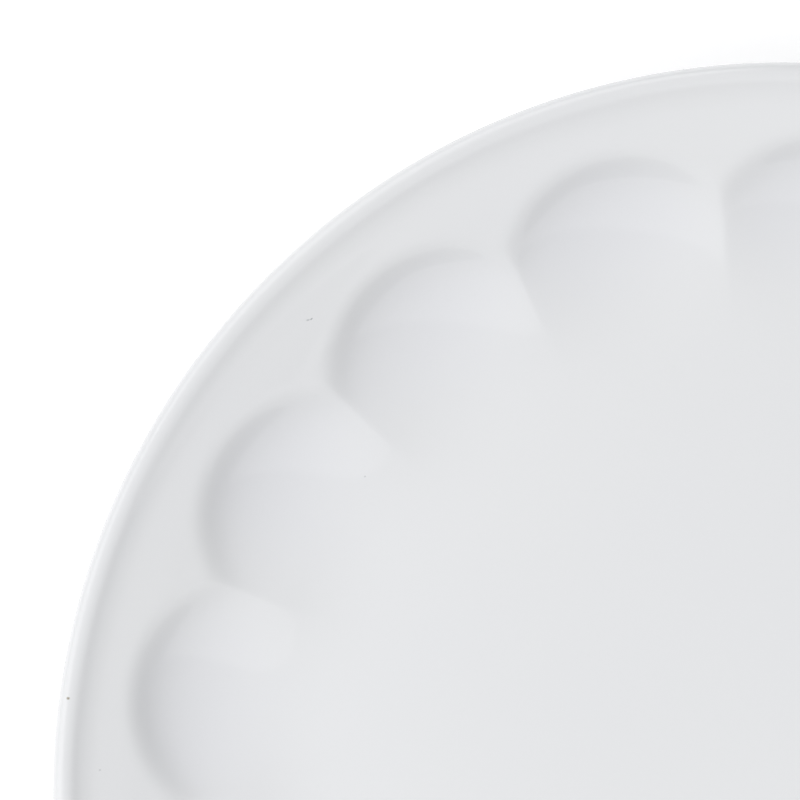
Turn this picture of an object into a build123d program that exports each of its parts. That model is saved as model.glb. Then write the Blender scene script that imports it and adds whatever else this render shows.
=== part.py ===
from build123d import *
from math import acos, atan2, cos, degrees, radians, sin, tan
import os

# A round porcelain mixing palette: one fired piece with a rolled rim, a sloping flange,
# a ring of scalloped wells that open into a gently domed mixing floor, and a foot ring.
# Millimetres, +Z up. The origin is the centre of the foot's bearing plane, and one well
# is centred on +X. Angles are degrees above the horizontal.

rim_radius = 150.0
well_count = 17
glaze_thickness = 0.35
wall_thickness = 5.0

# Mixing floor: flat middle, long slope down to a trough where the wells begin.
middle_radius = 31.0
slope_radius = 91.0
slope_angle = 6.0
trough_radius = 104.5
trough_height = 8.0

# Ridges between the wells, then the flange, then the rolled rim.
ridge_radius = 117.5
ridge_inner_angle = 5.5
ridge_outer_angle = 13.0
flange_radius = 137.0
flange_angle = 11.0
bead_radius = 141.6
bead_slope_radius = 145.4
bead_angle = 30.0
crest_radius = 147.7
rim_edge_height = 1.1

# Wells: a shallow bowl sunk square to a tilted mouth, over a nearly flat floor.
well_circle_radius = 114.4
well_mouth_radius = 21.2
well_mouth_angle = 12.0
well_sink = 2.3
well_wall_bend = 28.0
well_floor_height = 7.5
well_floor_radius = 108.0
well_floor_bend = 120.0
mouth_clearance = 12.0

# Foot ring, the only part of the body that the glaze leaves bare.
foot_radius = 88.0
foot_half_width = 1.7
foot_root_half_width = 3.2
foot_edge_round = 0.7
foot_root_round = 2.4
bare_height = 0.9


def rise(run, angle):
    """Height gained along a straight run at an angle."""
    return run * tan(radians(angle))


def arc_rise(run, start_angle, end_angle):
    """Height gained along an arc that turns from one angle to another over a run."""
    bend = run / (sin(radians(end_angle)) - sin(radians(start_angle)))
    return bend * (cos(radians(start_angle)) - cos(radians(end_angle)))


slope_height = trough_height - arc_rise(trough_radius - slope_radius, -slope_angle, 0)
middle_height = slope_height - arc_rise(slope_radius - middle_radius, 0, -slope_angle)
ridge_height = trough_height + rise(ridge_radius - trough_radius, ridge_inner_angle)
flange_height = ridge_height + rise(flange_radius - ridge_radius, ridge_outer_angle)
bead_height = flange_height + rise(bead_radius - flange_radius, flange_angle)
bead_slope_height = bead_height + arc_rise(bead_slope_radius - bead_radius, flange_angle, bead_angle)
crest_height = bead_slope_height + arc_rise(crest_radius - bead_slope_radius, bead_angle, 0)
edge_bend = rim_radius - crest_radius
edge_bottom_height = crest_height - edge_bend - rim_edge_height


def section_steps():
    """The section through a ridge, clockwise from the top centre, as lines and tangent arcs."""
    under_rim = (
        rim_radius - edge_bend * (1 - sin(radians(ridge_outer_angle))),
        edge_bottom_height - edge_bend * cos(radians(ridge_outer_angle)),
    )
    foot = []
    for side in (1, -1):
        root = foot_radius + side * foot_root_half_width
        root_height = slope_height - wall_thickness + rise(slope_radius - root, slope_angle)
        tip = foot_radius + side * foot_half_width
        foot += [(root, root_height), (tip, 0)][::side]
    return [
        ("start", (0, middle_height)),
        ("line", (middle_radius, middle_height)),
        ("arc", (slope_radius, slope_height)),
        ("arc", (trough_radius, trough_height)),
        ("line", (ridge_radius, ridge_height)),
        ("line", (flange_radius, flange_height)),
        ("line", (bead_radius, bead_height)),
        ("arc", (bead_slope_radius, bead_slope_height)),
        ("arc", (crest_radius, crest_height)),
        ("arc", (rim_radius, crest_height - edge_bend)),
        ("line", (rim_radius, edge_bottom_height)),
        ("arc", under_rim),
        ("line", (ridge_radius, ridge_height - wall_thickness)),
        ("line", (trough_radius, trough_height - wall_thickness)),
        ("line", foot[0]),
        ("line", foot[1]),
        ("line", foot[2]),
        ("line", foot[3]),
        ("line", (middle_radius, middle_height - wall_thickness)),
        ("line", (0, middle_height - wall_thickness)),
    ]


def headings(steps):
    """Direction of travel, in degrees, at the start and the end of each step."""
    travel = []
    heading = 0
    for (_, here), (kind, there) in zip(steps, steps[1:]):
        chord = degrees(atan2(there[1] - here[1], there[0] - here[0]))
        start = heading if kind == "arc" else chord
        heading = 2 * chord - start
        travel.append((start, heading))
    return travel


def taken_in(point, into, out, skin):
    """A corner of the section moved inwards, so that both sides move by the skin."""
    turn = (out - into + 180) % 360 - 180
    middle = radians(into + turn / 2)
    distance = skin / cos(radians(turn / 2))
    return (point[0] + distance * sin(middle), point[1] - distance * cos(middle))


def section(skin):
    """Half of the plate's section, less a skin of the given thickness."""
    steps = section_steps()
    travel = headings(steps)
    into = [travel[0][0]] + [end for _, end in travel]
    out = [start for start, _ in travel] + [travel[-1][1]]
    corners = [taken_in(steps[i][1], into[i], out[i], skin) for i in range(len(steps))]
    with BuildSketch() as half:
        with BuildLine():
            for i, (kind, _) in enumerate(steps[1:]):
                if kind == "arc":
                    start = radians(travel[i][0])
                    TangentArc(corners[i], corners[i + 1], tangent=(cos(start), sin(start)))
                else:
                    Line(corners[i], corners[i + 1])
            Line(corners[-1], corners[0])
        make_face()
        foot = half.vertices().sort_by_distance((foot_radius, 0))[:4].sort_by(Axis.Y)
        fillet(foot[2:], foot_root_round + skin)
        fillet(foot[:2], foot_edge_round - skin)
    return half.sketch


def turned_plate(skin):
    """The plate without its wells, less a skin all round."""
    return revolve(Plane.XZ * section(skin), Axis.Z)


def well_tool(skin):
    """The hollow of one well on +X, grown by the skin's thickness."""
    mouth_height = flange_height - rise(flange_radius - well_circle_radius, well_mouth_angle)
    mouth = Pos(well_circle_radius, 0, mouth_height) * Rot(0, -well_mouth_angle, 0)
    edge_angle = degrees(acos(1 - well_sink / well_wall_bend))
    bend = well_wall_bend + skin
    flat = well_mouth_radius - well_wall_bend * sin(radians(edge_angle))
    bottom = -well_sink - skin
    edge = (flat + bend * sin(radians(edge_angle)), bottom + bend * (1 - cos(radians(edge_angle))))
    reach = mouth_clearance / tan(radians(edge_angle))
    with BuildSketch(Plane.XZ) as bowl:
        with BuildLine():
            Line((0, bottom), (flat, bottom))
            TangentArc((flat, bottom), edge, tangent=(1, 0))
            Polyline(edge, (edge[0] + reach, edge[1] + mouth_clearance), (0, edge[1] + mouth_clearance))
            Line((0, edge[1] + mouth_clearance), (0, bottom))
        make_face()
    hollow = mouth * revolve(bowl.sketch, Axis.Z)
    floor = Pos(well_floor_radius, 0, well_floor_height + well_floor_bend) * Sphere(well_floor_bend + skin)
    return hollow & floor


def around(tool):
    """One copy of a tool at every well."""
    return [Rot(0, 0, 360 / well_count * step) * tool for step in range(well_count)]


def below_mid_wall():
    """Everything under the middle of the wall, where the wells may bulge the underside."""
    half_wall = wall_thickness / 2
    with BuildSketch(Plane.XZ) as region:
        with BuildLine():
            Polyline(
                (slope_radius, 0),
                (slope_radius, trough_height - half_wall),
                (trough_radius, trough_height - half_wall),
                (ridge_radius, ridge_height - half_wall),
                (bead_radius, bead_height - half_wall),
                (bead_radius, 0),
                close=True,
            )
        make_face()
    return revolve(region.sketch, Axis.Z)


def fired_shape(skin):
    """The whole palette, or the palette less a skin of the given thickness."""
    room = below_mid_wall()
    bulges = [bulge & room for bulge in around(well_tool(wall_thickness - skin))]
    return turned_plate(skin) + bulges - around(well_tool(skin))


def foot_slab():
    """The layer at the foot that is wiped clean of glaze."""
    return Pos(0, 0, bare_height / 2) * Cylinder(rim_radius, bare_height)


outer = fired_shape(0)
inner = fired_shape(glaze_thickness)
foot_tip = outer & foot_slab()
glaze = outer - inner - foot_slab()
under_middle, over_all = glaze.solids().sort_by(SortBy.VOLUME)

pieces = {
    "porcelain_body": inner + foot_tip,
    "glaze_coat": over_all,
    "foot_well_glaze": under_middle,
}
os.makedirs("parts", exist_ok=True)
for name, piece in pieces.items():
    print(name, "volume", round(piece.volume))
    export_step(piece, f"parts/{name}.step")
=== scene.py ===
import bpy
from math import atan2, ceil, cos, hypot, pi, radians, sin, tan
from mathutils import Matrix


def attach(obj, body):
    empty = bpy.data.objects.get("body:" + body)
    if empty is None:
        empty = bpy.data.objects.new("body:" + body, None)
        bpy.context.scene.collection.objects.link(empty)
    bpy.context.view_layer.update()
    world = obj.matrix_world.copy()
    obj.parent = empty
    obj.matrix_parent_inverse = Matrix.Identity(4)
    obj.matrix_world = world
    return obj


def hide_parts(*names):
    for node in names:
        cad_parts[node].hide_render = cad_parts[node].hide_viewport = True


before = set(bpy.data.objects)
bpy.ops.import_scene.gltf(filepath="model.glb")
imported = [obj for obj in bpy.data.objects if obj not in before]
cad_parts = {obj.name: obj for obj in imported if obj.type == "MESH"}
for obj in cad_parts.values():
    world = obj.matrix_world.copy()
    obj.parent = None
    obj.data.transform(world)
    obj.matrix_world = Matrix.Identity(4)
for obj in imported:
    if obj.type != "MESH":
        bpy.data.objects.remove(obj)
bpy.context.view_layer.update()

# ---------------------------------------------------------------------------------------
# The fired body. White porcelain pressed over a plaster mould and trimmed on a wheel, so its
# section is one line turned round the axis, with the wells pressed in. It is fired to 1280
# degrees. Only the foot ring shows bare, where the glaze was wiped off and the foot rubbed flat.

MM = 0.001

# The top skin, from the centre to the crest of the rim: radius in mm, slope in degrees at
# that radius, and spacing in mm of the rings up to it.
top_stations = [
    (0, 0, 0),
    (31, 0, 10.4),
    (50, -1.4, 4.8),
    (70, -3.4, 4),
    (84, -5.4, 3.6),
    (92, -5.2, 2.7),
    (98, -1.8, 1.5),
    (104, 4.6, 1.5),
    (108, 10.3, 1.4),
    (113, 12.3, 1.3),
    (118, 14.0, 1.3),
    (124, 10.0, 1.3),
    (131, 13.5, 0.9),
    (137, 10.9, 0.6),
    (141, 11.0, 0.7),
    (143.6, 20.5, 0.5),
    (145.6, 31.0, 0.4),
    (147.6, 0, 0.35),
]
# The slopes set the form, and the trough at the foot of the wells sets the height.
trough_radius, trough_height = 104, 7.98
rim_radius = 150.0
wall = 5.0


def arc_rise(run, start, end):
    """Height gained along an arc that turns from one slope to another, in degrees."""
    return run * tan(radians((start + end) / 2))


top = [(0.0, 0.0)]
for (r0, slope0, _), (r1, slope1, spacing) in zip(top_stations, top_stations[1:]):
    start_height = top[-1][1]
    count = max(1, round((r1 - r0) / spacing))
    for i in range(1, count + 1):
        run = (r1 - r0) * i / count
        slope = slope0 + (slope1 - slope0) * i / count
        top.append((r0 + run, start_height + arc_rise(run, slope0, slope)))
at_trough = min(top, key=lambda point: abs(point[0] - trough_radius))[1]
top = [(r, z - at_trough + trough_height) for r, z in top]


def top_height(radius):
    """Height of the top skin at a radius, before the wells are pressed."""
    for (r0, z0), (r1, z1) in zip(top, top[1:]):
        if r0 <= radius <= r1:
            return z0 + (z1 - z0) * (radius - r0) / (r1 - r0)
    return top[-1][1]


def under(radius, bend):
    """A corner of the underside, one wall below the top skin: radius, height and bend."""
    return (radius, top_height(radius) - wall, bend)


def rounded(corners, spacing, arc_step=12):
    """A run of corners (radius, height, bend) as a line of points with each corner rounded."""
    line = [corners[0][:2]]
    for before, (x, y, bend), after in zip(corners, corners[1:], corners[2:]):
        if not bend:
            line.append((x, y))
            continue
        into = atan2(y - before[1], x - before[0])
        out = atan2(after[1] - y, after[0] - x)
        turn = (out - into + pi) % (2 * pi) - pi
        side = 1 if turn > 0 else -1
        back = abs(bend * tan(turn / 2))
        start = (x - back * cos(into), y - back * sin(into))
        centre = (start[0] - side * bend * sin(into), start[1] + side * bend * cos(into))
        line.append(start)
        steps = max(1, ceil(abs(turn) / radians(arc_step)))
        for i in range(1, steps + 1):
            heading = into + turn * i / steps - side * pi / 2
            line.append((centre[0] + bend * cos(heading), centre[1] + bend * sin(heading)))
    line.append(corners[-1][:2])
    filled = [line[0]]
    for here, there in zip(line, line[1:]):
        count = max(1, round(hypot(there[0] - here[0], there[1] - here[1]) / spacing))
        for i in range(1, count + 1):
            filled.append(tuple(a + (b - a) * i / count for a, b in zip(here, there)))
    return filled


# The rolled rim: how far its outside drops straight, and the share of the roll's bend that
# each of its two rounds takes.
crest_radius, crest_height = top[-1]
roll_bend = rim_radius - crest_radius
edge_drop = 1.1
upper_share, lower_share = 0.98, 0.8
rim_bottom = crest_height - roll_bend * 2 - edge_drop
# The foot ring, and the height up to which it is bare.
foot_radius, foot_half, foot_root_half = 88.0, 1.7, 3.2
foot_edge_bend, foot_root_bend = 0.7, 2.4
bare_height = 0.9
# The corners of the rim and the underside, from the crest to the middle.
below = rounded(
    [
        (crest_radius, crest_height, 0),
        (rim_radius, crest_height, roll_bend * upper_share),
        (rim_radius, rim_bottom, roll_bend * lower_share),
        under(131, 12),
        under(117.5, 30),
        (trough_radius + 1, trough_height - wall, 30),
        under(foot_radius + foot_root_half, foot_root_bend),
        (foot_radius + foot_half, 0, foot_edge_bend),
        (foot_radius - foot_half, 0, foot_edge_bend),
        under(foot_radius - foot_root_half, foot_root_bend),
        under(60, 60),
        under(31, 60),
        under(0, 0),
    ],
    spacing=2.6,
)[1:]
# Each point of the outer form: radius, height, and how far it lies under the top skin.
outer_line = [(r, z, 0.0) for r, z in top] + [(r, z, wall) for r, z in below]


def taken_in(line, skin, fade=0.5):
    """The line moved inwards by a skin, which fades out just above the bare foot."""
    moved = []
    for i, (r, z, under_top) in enumerate(line):
        before, after = line[max(i - 1, 0)], line[min(i + 1, len(line) - 1)]
        dr, dz = after[0] - before[0], after[1] - before[1]
        length = hypot(dr, dz)
        depth = skin * min(1.0, max(0.0, (z - bare_height) / fade))
        down = depth if under_top == 0 else -depth
        new_r = r + depth * dz / length if r else 0.0
        moved.append((new_r, z - depth * dr / length, under_top + down))
    return moved


def section_object(line):
    """The line as a chain of vertices: radius on X, depth under the top skin on Y, height on Z."""
    mesh = bpy.data.meshes.new("section")
    mesh.from_pydata(
        [(r * MM, under_top * MM, z * MM) for r, z, under_top in line],
        [(i, i + 1) for i in range(len(line) - 1)],
        [],
    )
    chain = bpy.data.objects.new("section", mesh)
    bpy.context.scene.collection.objects.link(chain)
    return chain


def add(tree, kind, feeds=(), out=0, **settings):
    """Adds a node with its settings, feeds its inputs by order or by name, and gives one output."""
    node = tree.nodes.new(kind)
    for name, value in settings.items():
        setattr(node, name, value)
    for key, value in feeds.items() if isinstance(feeds, dict) else enumerate(feeds):
        if isinstance(value, bpy.types.NodeSocket):
            tree.links.new(value, node.inputs[key])
        elif value is not None:
            node.inputs[key].default_value = value
    return node.outputs[out]


# The tree turns a section round the axis in as many sectors as there are wells, with its
# columns crowded towards the ridges, and presses every well into it. Lengths are in metres.
well_numbers = {
    "Wells": 17,
    "Crowding": 0.7,
    "Floor height": 7.1 * MM,
    "Floor middle": 113.7 * MM,
    "Floor bend along": 57.1 * MM,
    "Floor bend across": 82.2 * MM,
    "Mouth middle": 110.8 * MM,
    "Mouth radius": 22.95 * MM,
    "Mouth height": 8.92 * MM,
    "Mouth tilt": tan(radians(10)),
    "Sink": 5.06 * MM,
    "Wall steepness": 4.14,
    "Floor join": 4.0 * MM,
    "Lip round": 4.95 * MM,
    "Ridge start": 97.0 * MM,
    "Ridge spread": 0.046,
}
plate = bpy.data.node_groups.new("pressed_plate", "GeometryNodeTree")
plate.interface.new_socket("Geometry", in_out="OUTPUT", socket_type="NodeSocketGeometry")
plate.interface.new_socket("Section", in_out="INPUT", socket_type="NodeSocketObject")
plate.interface.new_socket("Finish", in_out="INPUT", socket_type="NodeSocketMaterial")
plate.interface.new_socket("Steps per well", in_out="INPUT", socket_type="NodeSocketInt")
for name, value in well_numbers.items():
    kind = "NodeSocketInt" if isinstance(value, int) else "NodeSocketFloat"
    plate.interface.new_socket(name, in_out="INPUT", socket_type=kind)
given = {s.name: s for s in plate.nodes.new("NodeGroupInput").outputs}
calc = "ShaderNodeMath"

# A grid with a row for each point of the section and a column for each step round the axis.
chain = add(plate, "GeometryNodeObjectInfo", {"Object": given["Section"]}).node.outputs["Geometry"]
rows = add(plate, "GeometryNodeAttributeDomainSize", {"Geometry": chain})
columns = add(plate, calc, (given["Wells"], given["Steps per well"], 1.0), operation="MULTIPLY_ADD")
sheet = add(plate, "GeometryNodeMeshGrid", (1.0, 1.0, columns, rows))
index = add(plate, "GeometryNodeInputIndex")
row = add(plate, calc, (index, rows), operation="MODULO")
column = add(plate, calc, (index, rows), operation="DIVIDE")
column = add(plate, calc, (column,), operation="FLOOR")
place = add(plate, "GeometryNodeInputPosition")
place = add(
    plate,
    "GeometryNodeSampleIndex",
    {"Geometry": chain, "Value": place, "Index": row},
    data_type="FLOAT_VECTOR",
)
radius, under_top, section_height = add(plate, "ShaderNodeSeparateXYZ", (place,)).node.outputs

# Heading of a column: the sector, and where it is between two ridges, from -1 to 1.
turned = add(plate, calc, (column, given["Steps per well"]), operation="DIVIDE")
sector = add(plate, calc, (turned,), operation="FLOOR")
within = add(plate, calc, (turned,), operation="FRACT")
within = add(plate, calc, (within, 2.0, -1.0), operation="MULTIPLY_ADD")
wave = add(plate, calc, (within, pi), operation="MULTIPLY")
wave = add(plate, calc, (wave,), operation="SINE")
wave = add(plate, calc, (wave, given["Crowding"]), operation="MULTIPLY")
crowded = add(plate, calc, (wave, 1 / pi, within), operation="MULTIPLY_ADD")
half_pitch = add(plate, calc, (pi, given["Wells"]), operation="DIVIDE")
lean = add(plate, calc, (crowded, half_pitch), operation="MULTIPLY")
pitch = add(plate, calc, (half_pitch, 2.0), operation="MULTIPLY")
heading = add(plate, calc, (sector, pitch, lean), operation="MULTIPLY_ADD")

# The fold between two wells is rounded, more so towards the flange. Then the place is given
# along and across the well, from the axis.
fold = add(plate, calc, (radius, given["Ridge start"]), operation="SUBTRACT")
fold = add(plate, calc, (fold, 0.0), operation="MAXIMUM")
fold = add(plate, calc, (fold, given["Ridge spread"]), operation="MULTIPLY")
fold = add(plate, calc, (fold, radius), operation="DIVIDE")
fold = add(plate, calc, (fold, fold), operation="MULTIPLY")
off_ridge = add(plate, calc, (lean,), operation="ABSOLUTE")
off_ridge = add(plate, calc, (half_pitch, off_ridge), operation="SUBTRACT")
off_ridge = add(plate, calc, (off_ridge, off_ridge, fold), operation="MULTIPLY_ADD")
off_ridge = add(plate, calc, (off_ridge,), operation="SQRT")
folded = add(plate, calc, (half_pitch, off_ridge), operation="SUBTRACT")
cos_folded = add(plate, calc, (folded,), operation="COSINE")
sin_folded = add(plate, calc, (folded,), operation="SINE")
along = add(plate, calc, (radius, cos_folded), operation="MULTIPLY")
across = add(plate, calc, (radius, sin_folded), operation="MULTIPLY")
across_squared = add(plate, calc, (across, across), operation="MULTIPLY")

# The floor, a shallow cup that opens into the middle of the palette.
from_floor = add(plate, calc, (along, given["Floor middle"]), operation="SUBTRACT")
cup = add(plate, calc, (from_floor, from_floor), operation="MULTIPLY")
cup = add(plate, calc, (cup, given["Floor bend along"]), operation="DIVIDE")
cup_across = add(plate, calc, (across_squared, given["Floor bend across"]), operation="DIVIDE")
cup = add(plate, calc, (cup, cup_across), operation="ADD")
floor_height = add(plate, calc, (cup, 0.5, given["Floor height"]), operation="MULTIPLY_ADD")

# The bowl, sunk square to a tilted mouth. Its wall climbs as a power of the distance from the
# mouth's middle, so it is flat at the bottom and steepest at the lip.
secant = add(plate, calc, (given["Mouth tilt"], given["Mouth tilt"], 1.0), operation="MULTIPLY_ADD")
secant = add(plate, calc, (secant,), operation="SQRT")
from_mouth = add(plate, calc, (along, given["Mouth middle"]), operation="SUBTRACT")
up_slope = add(plate, calc, (from_mouth, secant), operation="MULTIPLY")
spread = add(plate, calc, (up_slope, up_slope, across_squared), operation="MULTIPLY_ADD")
spread = add(plate, calc, (spread,), operation="SQRT")
climb = add(plate, calc, (spread, given["Mouth radius"]), operation="DIVIDE")
climb = add(plate, calc, (climb, given["Wall steepness"]), operation="POWER")
climb = add(plate, calc, (climb, 1.0), operation="SUBTRACT")
bowl = add(plate, calc, (climb, given["Sink"]), operation="MULTIPLY")
bowl = add(plate, calc, (bowl, secant), operation="MULTIPLY")
mouth = add(plate, calc, (from_mouth, given["Mouth tilt"], given["Mouth height"]), operation="MULTIPLY_ADD")
bowl = add(plate, calc, (bowl, mouth), operation="ADD")

# The pressed surface, and for the underside the same surface lower down. What a well presses
# in is kept as an attribute, for the colour of the glaze.
pressed = add(plate, calc, (floor_height, bowl, given["Floor join"]), operation="SMOOTH_MAX")
pressed = add(plate, calc, (pressed, under_top), operation="SUBTRACT")
level = add(plate, calc, (section_height, pressed, given["Lip round"]), operation="SMOOTH_MIN")
depth = add(plate, calc, (section_height, level), operation="SUBTRACT")
cos_heading = add(plate, calc, (heading,), operation="COSINE")
sin_heading = add(plate, calc, (heading,), operation="SINE")
x = add(plate, calc, (radius, cos_heading), operation="MULTIPLY")
y = add(plate, calc, (radius, sin_heading), operation="MULTIPLY")
spun = add(plate, "ShaderNodeCombineXYZ", (x, y, level))
shaped = add(plate, "GeometryNodeSetPosition", {"Geometry": sheet, "Position": spun})
kept = add(
    plate,
    "GeometryNodeStoreNamedAttribute",
    {"Geometry": shaped, "Name": "pressed_depth", "Value": depth},
    data_type="FLOAT",
    domain="POINT",
)
# The seam and the two poles are closed, and the faces are turned outwards.
closed = add(plate, "GeometryNodeMergeByDistance", {"Geometry": kept, "Distance": 0.02 * MM})
outward = add(plate, "GeometryNodeFlipFaces", {"Mesh": closed})
smooth = add(plate, "GeometryNodeSetShadeSmooth", {"Geometry": outward})
real = add(plate, "GeometryNodeRealizeInstances", {"Geometry": smooth})
finished = add(plate, "GeometryNodeSetMaterial", {"Geometry": real, "Material": given["Finish"]})
plate.links.new(finished, plate.nodes.new("NodeGroupOutput").inputs[0])


def turned_piece(name, line, finish, steps_per_well):
    """A piece turned from a section and pressed, as a plain mesh at the origin."""
    chain = section_object(line)
    blank = bpy.data.objects.new("blank", bpy.data.meshes.new("blank"))
    bpy.context.scene.collection.objects.link(blank)
    spin = blank.modifiers.new("spin", "NODES")
    spin.node_group = plate
    values = {"Section": chain, "Finish": finish, "Steps per well": steps_per_well, **well_numbers}
    for socket in plate.interface.items_tree:
        if socket.in_out == "INPUT":
            spin[socket.identifier] = values[socket.name]
    bpy.context.view_layer.update()
    graph = bpy.context.evaluated_depsgraph_get()
    mesh = bpy.data.meshes.new_from_object(blank.evaluated_get(graph), depsgraph=graph)
    mesh.name = name
    piece = bpy.data.objects.new(name, mesh)
    bpy.context.scene.collection.objects.link(piece)
    for spare in (blank, chain):
        bpy.data.objects.remove(spare)
    return piece


def colour(code):
    """An sRGB hex colour as the linear colour that a shader takes."""
    parts = [int(code[i : i + 2], 16) / 255 for i in (1, 3, 5)]
    return tuple(((c + 0.055) / 1.055) ** 2.4 if c > 0.04045 else c / 12.92 for c in parts) + (1.0,)


def new_finish(name):
    """A new material, with its tree and the inputs of its shader."""
    made = bpy.data.materials.new(name)
    made.use_nodes = True
    return made, made.node_tree, made.node_tree.nodes["Principled BSDF"].inputs


# Fired, unglazed porcelain, rubbed on a wet stone. It looks matt, dry and a little warm and
# grey, with fine grit. The scales of all patterns are given as cells to the millimetre.
biscuit, tree, shader = new_finish("ground_bare_porcelain")
where = add(tree, "ShaderNodeTexCoord").node.outputs["Object"]
# The grit is 0.3 mm; the noise is set coarser, 0.7 mm, so that it shows.
grit = add(tree, "ShaderNodeTexNoise", {
    "Vector": where, "Scale": 1.4 / MM, "Detail": 3.0, "Roughness": 0.6,
})
cloud = add(tree, "ShaderNodeTexNoise", {
    "Vector": where, "Scale": 0.06 / MM, "Detail": 4.0, "Roughness": 0.55,
})
blend = add(tree, calc, (grit, 0.6), operation="MULTIPLY")
blend = add(tree, calc, (cloud, 0.4, blend), operation="MULTIPLY_ADD")
ramp = add(tree, "ShaderNodeValToRGB", {"Fac": blend})
darkest, lightest = ramp.node.color_ramp.elements
darkest.position, lightest.position = 0.38, 0.62
darkest.color, lightest.color = colour("#CFCAC0"), colour("#E4E0D8")
tree.links.new(ramp, shader["Base Color"])
shader["IOR"].default_value = 1.5
rough = add(tree, "ShaderNodeMapRange", {"Value": grit, "To Min": 0.62, "To Max": 0.86})
tree.links.new(rough, shader["Roughness"])
# Marks left by turning the foot on the stone. A wave has 20 / (2 pi) rings to a cell, so
# these are 0.8 mm apart.
rub = add(tree, "ShaderNodeTexWave", {
    "Vector": where, "Scale": 0.4 / MM, "Distortion": 2.0, "Detail": 2.0,
}, wave_type="RINGS", rings_direction="Z")
relief = add(tree, calc, (rub, 0.3, grit), operation="MULTIPLY_ADD")
bump = add(tree, "ShaderNodeBump", {"Height": relief, "Strength": 0.5, "Distance": 0.04 * MM})
tree.links.new(bump, shader["Normal"])

# The body lies a little deeper than the inside of the glaze, so that it never shows through.
glaze_skin = 0.35
body_gap = 0.1
body = turned_piece(
    "porcelain_body_fired", taken_in(outer_line, glaze_skin + body_gap), biscuit, steps_per_well=20
)
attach(body, "root")
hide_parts("porcelain_body")

# ---------------------------------------------------------------------------------------
# The glaze coat over the top, the rim and the underside outside the foot ring. A clear
# feldspar glaze, dipped and fired, about a third of a millimetre thick.

# Glass melted onto the white body. It looks wet and sharp, with soft waves and a few marks.
glazed, tree, shader = new_finish("glazed_porcelain")
where = add(tree, "ShaderNodeTexCoord").node.outputs["Object"]
# The glass lies thicker in the wells, where it looks a little bluer.
pool = add(tree, "ShaderNodeAttribute", attribute_name="pressed_depth").node.outputs["Fac"]
pool = add(tree, "ShaderNodeMapRange", {"Value": pool, "From Min": 0.3 * MM, "From Max": 3.5 * MM})
drift = add(tree, "ShaderNodeTexNoise", {
    "Vector": where, "Scale": 0.022 / MM, "Detail": 3.0, "Roughness": 0.5,
})
amount = add(tree, calc, (drift, 0.8, -0.3), operation="MULTIPLY_ADD")
amount = add(tree, calc, (pool, 0.6, amount), operation="MULTIPLY_ADD")
tint = add(tree, "ShaderNodeMix", data_type="RGBA").node
tree.links.new(amount, tint.inputs["Factor"])
tint.inputs[6].default_value = colour("#E9EAEB")
tint.inputs[7].default_value = colour("#E7E8EB")
tint = tint.outputs[2]
# The body's grain, seen through the glass. It is 0.1 mm; the noise is set to 0.7 mm to show.
grain = add(tree, "ShaderNodeTexNoise", {
    "Vector": where, "Scale": 1.5 / MM, "Detail": 2.0, "Roughness": 0.6,
})
mottle = add(tree, "ShaderNodeMapRange", {
    "Value": grain, "From Min": 0.3, "From Max": 0.7, "To Min": 0.997, "To Max": 1.003,
})
tint = add(tree, "ShaderNodeVectorMath", {0: tint, "Scale": mottle}, operation="SCALE")

# Marks of the firing, in mm: place, turn in degrees, half length and half width, colour. An
# iron speck on the rim, a drag in the glaze on the flange, and two closed pinholes.
marks = [
    ((-146.6, 21.3, 17.4), 0, 0.46, 0.42, "#A49C8C"),
    ((-95.8, 98.5, 14.7), 35, 0.42, 0.20, "#A6A7AA"),
    ((-96.5, 98.3, 14.7), 10, 0.52, 0.22, "#C4C5C8"),
    ((-85.2, 66.0, 8.5), 0, 0.26, 0.24, "#CCCDD0"),
    ((-140.3, 6.5, 15.1), 20, 0.34, 0.24, "#D0D1D3"),
]
# Half the height of every mark, so that it is sure to meet the skin.
mark_reach = 3.0
# The marks' edges wander by 0.1 mm either way, with folds 0.4 mm wide.
wander = 0.2 * MM
wobble = add(tree, "ShaderNodeTexNoise", {"Vector": where, "Scale": 2.6 / MM, "Detail": 1.0}, out=1)
ragged = add(tree, "ShaderNodeVectorMath", {0: wobble, 1: (wander,) * 3, 2: where}, operation="MULTIPLY_ADD")
hollow = None
for (x, y, z), turn, half_length, half_width, code in marks:
    near = add(tree, "ShaderNodeMapping", {
        "Vector": ragged,
        "Location": (x * MM + wander / 2, y * MM + wander / 2, z * MM),
        "Rotation": (0.0, 0.0, radians(turn)),
        "Scale": (half_length * MM, half_width * MM, mark_reach * MM),
    }, vector_type="TEXTURE")
    near = add(tree, "ShaderNodeVectorMath", {0: near}, out=1, operation="LENGTH")
    near = add(tree, "ShaderNodeMapRange", {"Value": near, "From Min": 1.0, "From Max": 0.35})
    spot = add(tree, "ShaderNodeMix", data_type="RGBA").node
    tree.links.new(near, spot.inputs["Factor"])
    tree.links.new(tint, spot.inputs[6])
    spot.inputs[7].default_value = colour(code)
    tint = spot.outputs[2]
    hollow = near if hollow is None else add(tree, calc, (hollow, near), operation="MAXIMUM")

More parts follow.
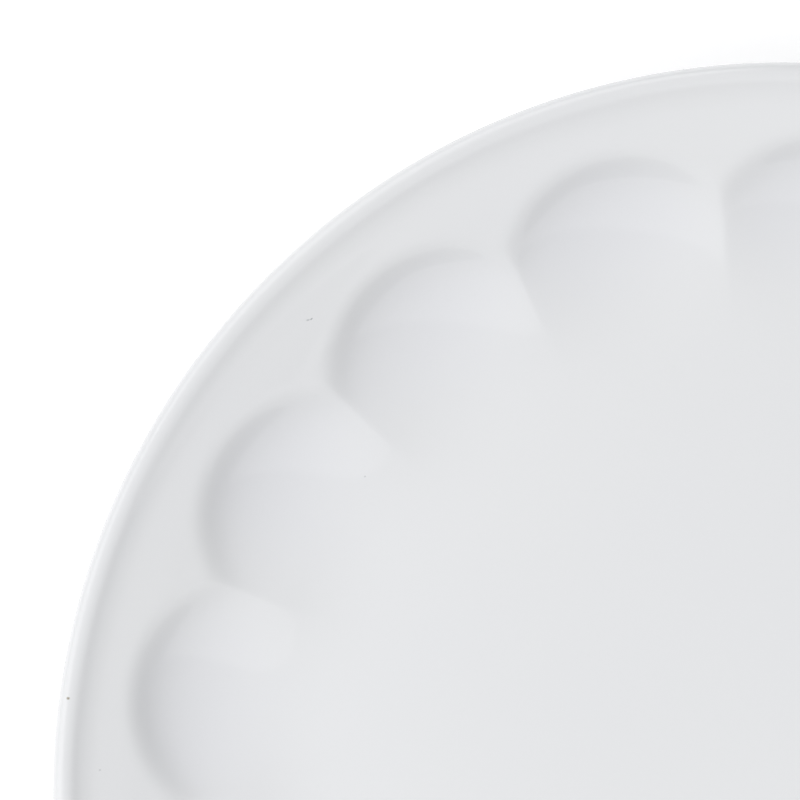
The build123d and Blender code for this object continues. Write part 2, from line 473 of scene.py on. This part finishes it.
# Closed pinholes elsewhere, 0.4 mm across, at the middle of one in four cells 35 mm wide. The
# cells are solid, so a pinhole shows only where such a middle lies in the skin, which is rare.
cells = add(tree, "ShaderNodeTexVoronoi", {"Vector": ragged, "Scale": 0.029 / MM}).node
chosen = add(tree, "ShaderNodeSeparateColor", (cells.outputs["Color"],))
chosen = add(tree, calc, (chosen, 0.75), operation="GREATER_THAN")
pinhole = add(tree, "ShaderNodeMapRange", {
    "Value": cells.outputs["Distance"], "From Min": 0.0062, "From Max": 0.003,
})
pinhole = add(tree, calc, (pinhole, chosen), operation="MULTIPLY")
spot = add(tree, "ShaderNodeMix", data_type="RGBA").node
tree.links.new(pinhole, spot.inputs["Factor"])
tree.links.new(tint, spot.inputs[6])
spot.inputs[7].default_value = colour("#BCBDBF")
tree.links.new(spot.outputs[2], shader["Base Color"])
hollow = add(tree, calc, (hollow, pinhole), operation="MAXIMUM")
shader["IOR"].default_value = 1.5
shader["Roughness"].default_value = 0.03
# The melted surface: soft waves 7 mm long and 4 microns high, dimpled at the marks.
wave_height = 0.004 * MM
dimple = -2.5
swell = add(tree, "ShaderNodeTexNoise", {
    "Vector": where, "Scale": 0.14 / MM, "Detail": 1.0, "Roughness": 0.4,
})
relief = add(tree, calc, (hollow, dimple, swell), operation="MULTIPLY_ADD")
bump = add(tree, "ShaderNodeBump", {"Height": relief, "Strength": 1.0, "Distance": wave_height})
tree.links.new(bump, shader["Normal"])


def stretch(line, first, last):
    """The stretch of a line from the first place to the last one, each given as a test."""
    start = next(i for i, place in enumerate(line) if first(place))
    stop = max(i for i, place in enumerate(line) if last(place))
    return line[start : stop + 1]


def lip(place, reach):
    """The edge of the glaze, from its face down into the body under it."""
    return (place[0] + reach, place[1], place[2])


lip_reach = glaze_skin + 0.15
outside = stretch(
    outer_line,
    lambda place: place[0] == 0,
    lambda place: place[0] > foot_radius and place[1] > bare_height,
)
outside.append(lip(outside[-1], -lip_reach))
coat = turned_piece("glaze_coat_clear", outside, glazed, steps_per_well=38)
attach(coat, "root")
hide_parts("glaze_coat")

# ---------------------------------------------------------------------------------------
# The glaze inside the foot ring. The same glaze from the same dip, cut off from the rest by
# the wiped foot.

inside = stretch(
    outer_line,
    lambda place: place[0] < foot_radius and place[2] > 0 and place[1] > bare_height,
    lambda place: True,
)
inside.insert(0, lip(inside[0], lip_reach))
under_coat = turned_piece("foot_well_glaze_clear", inside, glazed, steps_per_well=12)
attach(under_coat, "root")
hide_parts("foot_well_glaze")

# ---------------------------------------------------------------------------------------
# The floor. A sheet of matt white paper, large enough to fill every view. It glows a little,
# as a white sweep lit from behind does.

paper, tree, shader = new_finish("white_paper_floor")
shader["Base Color"].default_value = colour("#F4F4F4")
shader["Roughness"].default_value = 0.9
shader["Emission Color"].default_value = colour("#FFFFFF")
shader["Emission Strength"].default_value = 0.25
floor_reach = 60.0
corners = [(-1, -1), (1, -1), (1, 1), (-1, 1)]
floor_mesh = bpy.data.meshes.new("floor")
floor_mesh.from_pydata([(x * floor_reach, y * floor_reach, 0) for x, y in corners], [], [(0, 1, 2, 3)])
floor_mesh.materials.append(paper)
ground = bpy.data.objects.new("floor", floor_mesh)
bpy.context.scene.collection.objects.link(ground)

# ---------------------------------------------------------------------------------------
# The light. A pale room, bright overhead and darker towards the horizon, two broad lamps from
# the left, a fill from the near side, and one soft box whose edge shows in the glaze.

scene = bpy.context.scene
scene.view_settings.view_transform = "Standard"
scene.world = bpy.data.worlds.new("studio")
scene.world.use_nodes = True
room = scene.world.node_tree
sky = room.nodes["Background"].inputs
sky["Strength"].default_value = 0.551
up = add(room, "ShaderNodeTexCoord")
up = add(room, "ShaderNodeSeparateXYZ", (up,), out=2)
up = add(room, "ShaderNodeMapRange", {"Value": up, "From Min": 0.0, "From Max": 0.5})
graded = add(room, "ShaderNodeMix", {"Factor": up}, data_type="RGBA").node
# Linear colours at the horizon and overhead.
graded.inputs[6].default_value = (0.25, 0.252, 0.256, 1.0)
graded.inputs[7].default_value = (0.985, 0.987, 1.0, 1.0)
room.links.new(graded.outputs[2], sky["Color"])

# Name, strength, height above the floor in degrees, and bearing in degrees from +X.
lamps = [
    ("key", 0.60, 35, 180),
    ("second", 0.81, 35, 120),
    ("fill", 0.44, 30, -90),
]
lamp_spread = radians(50)
for name, strength, above, bearing in lamps:
    data = bpy.data.lights.new(name, "SUN")
    data.energy = strength
    data.angle = lamp_spread
    lamp = bpy.data.objects.new(name, data)
    lamp.rotation_euler = (0, radians(90 - above), radians(bearing))
    # The fill is bounced light: it has no edge to show in the glaze.
    lamp.visible_glossy = name != "fill"
    scene.collection.objects.link(lamp)

# The soft box hangs level, 1.1 m up on the near side, turned a little. It is as bright as
# its radiance says, whatever its size.
box_width, box_depth, box_radiance = 3.0, 1.6, 0.4642
box_data = bpy.data.lights.new("soft_box", "AREA")
box_data.shape = "RECTANGLE"
box_data.size, box_data.size_y = box_width, box_depth
box_data.energy = box_radiance * pi * box_width * box_depth
box = bpy.data.objects.new("soft_box", box_data)
box.location = (0.023, -1.020, 1.1)
box.rotation_euler = (0, 0, radians(-19))
box.visible_camera = False
scene.collection.objects.link(box)

# ---------------------------------------------------------------------------------------
# The camera looks straight down on one quarter. The palette is turned by a fraction of a
# degree on the table, so the camera is turned and moved the other way. Sizes are in metres.

pattern_turn = radians(0.7)
view_x, view_y = -0.0788, 0.0807
view_width, view_height, distance = 0.1642, 0.015, 3.0
lens_data = bpy.data.cameras.new("camera")
lens_data.lens = lens_data.sensor_width * distance / view_width
lens_data.clip_end = 100
camera = bpy.data.objects.new("camera", lens_data)
camera.location = (
    view_x * cos(pattern_turn) + view_y * sin(pattern_turn),
    view_y * cos(pattern_turn) - view_x * sin(pattern_turn),
    view_height + distance,
)
camera.rotation_euler = (0, 0, -pattern_turn)
scene.collection.objects.link(camera)
scene.camera = camera
